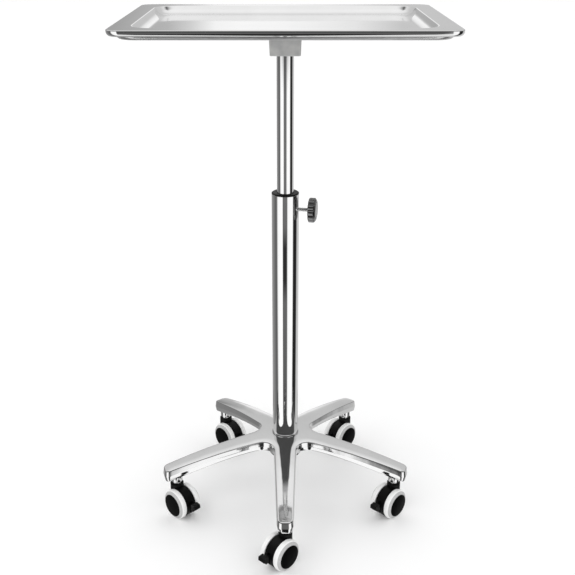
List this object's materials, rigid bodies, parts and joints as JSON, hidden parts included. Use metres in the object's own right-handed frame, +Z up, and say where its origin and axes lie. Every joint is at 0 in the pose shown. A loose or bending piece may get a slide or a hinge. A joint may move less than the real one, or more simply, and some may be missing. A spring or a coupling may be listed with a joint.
{
  "type": "instrument cart",
  "caption": "Height-adjustable instrument tray on a telescopic column with a clamping knob and a five-leg base on braked twin-wheel casters.",
  "frame": {"origin": "on the floor under the column axis", "axes": "+Z up along the column, +X to the right of the tray seen from the front, front towards -Y"},
  "size_m": [0.455, 0.4072, 0.8],
  "materials": {
    "polished_steel": "polished stainless sheet with faint drawing marks",
    "frame_steel": "satin stainless",
    "grey_alloy": "satin grey",
    "zinc_steel": "bright zinc",
    "chrome": "polished chrome tube",
    "cast_chrome": "polished chrome over a casting",
    "dark_chrome": "dark chrome",
    "black_nylon": "fine matt black",
    "black_wheel": "semi-gloss black",
    "white_tyre": "soft white tread"
  },
  "bodies": {
    "base": {"star_base": "cast_chrome", "column_tube": "chrome", "column_bush": "black_nylon", "lock_nut": "zinc_steel", "column_bolt": "zinc_steel", "column_washer": "zinc_steel", "caster_1_stem": "zinc_steel", "caster_2_stem": "zinc_steel", "caster_3_stem": "zinc_steel", "caster_4_stem": "zinc_steel", "caster_5_stem": "zinc_steel"},
    "guide": {"rod_guide_bush": "black_nylon"},
    "head": {"rod": "chrome", "rod_end_cap": "black_nylon", "socket_block": "grey_alloy", "socket_set_screw": "zinc_steel", "socket_plate": "frame_steel", "plate_screws": "zinc_steel", "frame_bar_front": "frame_steel", "frame_bar_back": "frame_steel", "tray_frame": "frame_steel"},
    "tray_body": {"tray": "polished_steel"},
    "stud": {"lock_stud": "zinc_steel"},
    "knob": {"lock_knob": "dark_chrome", "knob_cap": "dark_chrome"},
    "caster_1_fork": {"caster_1_housing": "black_nylon", "caster_1_axle": "zinc_steel"},
    "caster_1_left": {"caster_1_left_wheel": "black_wheel", "caster_1_left_tyre": "white_tyre"},
    "caster_1_right": {"caster_1_right_wheel": "black_wheel", "caster_1_right_tyre": "white_tyre"},
    "caster_1_brake": {"caster_1_brake_lever": "black_nylon"},
    "caster_2_fork": {"caster_2_housing": "black_nylon", "caster_2_axle": "zinc_steel"},
    "caster_2_left": {"caster_2_left_wheel": "black_wheel", "caster_2_left_tyre": "white_tyre"},
    "caster_2_right": {"caster_2_right_wheel": "black_wheel", "caster_2_right_tyre": "white_tyre"},
    "caster_2_brake": {"caster_2_brake_lever": "black_nylon"},
    "caster_3_fork": {"caster_3_housing": "black_nylon", "caster_3_axle": "zinc_steel"},
    "caster_3_left": {"caster_3_left_wheel": "black_wheel", "caster_3_left_tyre": "white_tyre"},
    "caster_3_right": {"caster_3_right_wheel": "black_wheel", "caster_3_right_tyre": "white_tyre"},
    "caster_3_brake": {"caster_3_brake_lever": "black_nylon"},
    "caster_4_fork": {"caster_4_housing": "black_nylon", "caster_4_axle": "zinc_steel"},
    "caster_4_left": {"caster_4_left_wheel": "black_wheel", "caster_4_left_tyre": "white_tyre"},
    "caster_4_right": {"caster_4_right_wheel": "black_wheel", "caster_4_right_tyre": "white_tyre"},
    "caster_4_brake": {"caster_4_brake_lever": "black_nylon"},
    "caster_5_fork": {"caster_5_housing": "black_nylon", "caster_5_axle": "zinc_steel"},
    "caster_5_left": {"caster_5_left_wheel": "black_wheel", "caster_5_left_tyre": "white_tyre"},
    "caster_5_right": {"caster_5_right_wheel": "black_wheel", "caster_5_right_tyre": "white_tyre"},
    "caster_5_brake": {"caster_5_brake_lever": "black_nylon"}
  },
  "joints": [
    {"name": "rod_slide", "type": "slide", "parent": "base", "child": "guide", "axis": [0, 0, 1], "range_m": [-0.2, 0.14]},
    {"name": "rod_swivel", "type": "hinge", "parent": "guide", "child": "head", "pos_m": [0, 0, 0.5], "axis": [0, 0, 1], "continuous": true},
    {"name": "tray_lift", "type": "slide", "parent": "head", "child": "tray_body", "axis": [0, 0, 1], "range_m": [0, 0.06]},
    {"name": "lock_stud_slide", "type": "slide", "parent": "base", "child": "stud", "axis": [0.9816, -0.1908, 0], "range_m": [0, 0.003]},
    {"name": "lock_knob_turn", "type": "hinge", "parent": "stud", "child": "knob", "pos_m": [0.04417, -0.00859, 0.514], "axis": [0.9816, -0.1908, 0], "range_deg": [0, 1080]},
    {"name": "caster_1_swivel", "type": "hinge", "parent": "base", "child": "caster_1_fork", "pos_m": [0, -0.19, 0.045], "axis": [0, 0, 1], "continuous": true},
    {"name": "caster_1_left_roll", "type": "hinge", "parent": "caster_1_fork", "child": "caster_1_left", "pos_m": [-0.00865, -0.19902, 0.0254], "axis": [0.7218, -0.6921, 0], "continuous": true},
    {"name": "caster_1_right_roll", "type": "hinge", "parent": "caster_1_fork", "child": "caster_1_right", "pos_m": [-0.00865, -0.19902, 0.0254], "axis": [0.7218, -0.6921, 0], "continuous": true},
    {"name": "caster_1_brake_press", "type": "hinge", "parent": "caster_1_fork", "child": "caster_1_brake", "pos_m": [-0.01834, -0.20913, 0.0254], "axis": [0.7218, -0.6921, 0], "range_deg": [0, 15]},
    {"name": "caster_2_swivel", "type": "hinge", "parent": "base", "child": "caster_2_fork", "pos_m": [0.1807, -0.05871, 0.045], "axis": [0, 0, 1], "continuous": true},
    {"name": "caster_2_left_roll", "type": "hinge", "parent": "caster_2_fork", "child": "caster_2_left", "pos_m": [0.17205, -0.06774, 0.0254], "axis": [0.7218, -0.6921, 0], "continuous": true},
    {"name": "caster_2_right_roll", "type": "hinge", "parent": "caster_2_fork", "child": "caster_2_right", "pos_m": [0.17205, -0.06774, 0.0254], "axis": [0.7218, -0.6921, 0], "continuous": true},
    {"name": "caster_2_brake_press", "type": "hinge", "parent": "caster_2_fork", "child": "caster_2_brake", "pos_m": [0.16236, -0.07784, 0.0254], "axis": [0.7218, -0.6921, 0], "range_deg": [0, 15]},
    {"name": "caster_3_swivel", "type": "hinge", "parent": "base", "child": "caster_3_fork", "pos_m": [0.11168, 0.15371, 0.045], "axis": [0, 0, 1], "continuous": true},
    {"name": "caster_3_left_roll", "type": "hinge", "parent": "caster_3_fork", "child": "caster_3_left", "pos_m": [0.10303, 0.14469, 0.0254], "axis": [0.7218, -0.6921, 0], "continuous": true},
    {"name": "caster_3_right_roll", "type": "hinge", "parent": "caster_3_fork", "child": "caster_3_right", "pos_m": [0.10303, 0.14469, 0.0254], "axis": [0.7218, -0.6921, 0], "continuous": true},
    {"name": "caster_3_brake_press", "type": "hinge", "parent": "caster_3_fork", "child": "caster_3_brake", "pos_m": [0.09334, 0.13459, 0.0254], "axis": [0.7218, -0.6921, 0], "range_deg": [0, 15]},
    {"name": "caster_4_swivel", "type": "hinge", "parent": "base", "child": "caster_4_fork", "pos_m": [-0.11168, 0.15371, 0.045], "axis": [0, 0, 1], "continuous": true},
    {"name": "caster_4_left_roll", "type": "hinge", "parent": "caster_4_fork", "child": "caster_4_left", "pos_m": [-0.10303, 0.14469, 0.0254], "axis": [0.7218, 0.6921, 0], "continuous": true},
    {"name": "caster_4_right_roll", "type": "hinge", "parent": "caster_4_fork", "child": "caster_4_right", "pos_m": [-0.10303, 0.14469, 0.0254], "axis": [0.7218, 0.6921, 0], "continuous": true},
    {"name": "caster_4_brake_press", "type": "hinge", "parent": "caster_4_fork", "child": "caster_4_brake", "pos_m": [-0.09334, 0.13459, 0.0254], "axis": [0.7218, 0.6921, 0], "range_deg": [0, 15]},
    {"name": "caster_5_swivel", "type": "hinge", "parent": "base", "child": "caster_5_fork", "pos_m": [-0.1807, -0.05871, 0.045], "axis": [0, 0, 1], "continuous": true},
    {"name": "caster_5_left_roll", "type": "hinge", "parent": "caster_5_fork", "child": "caster_5_left", "pos_m": [-0.17205, -0.06774, 0.0254], "axis": [0.7218, 0.6921, 0], "continuous": true},
    {"name": "caster_5_right_roll", "type": "hinge", "parent": "caster_5_fork", "child": "caster_5_right", "pos_m": [-0.17205, -0.06774, 0.0254], "axis": [0.7218, 0.6921, 0], "continuous": true},
    {"name": "caster_5_brake_press", "type": "hinge", "parent": "caster_5_fork", "child": "caster_5_brake", "pos_m": [-0.16236, -0.07784, 0.0254], "axis": [0.7218, 0.6921, 0], "range_deg": [0, 15]}
  ],
  "couplings": [
    {"joint": "lock_knob_turn", "follows": "lock_stud_slide", "rad_per_m": 6283.2}
  ]
}
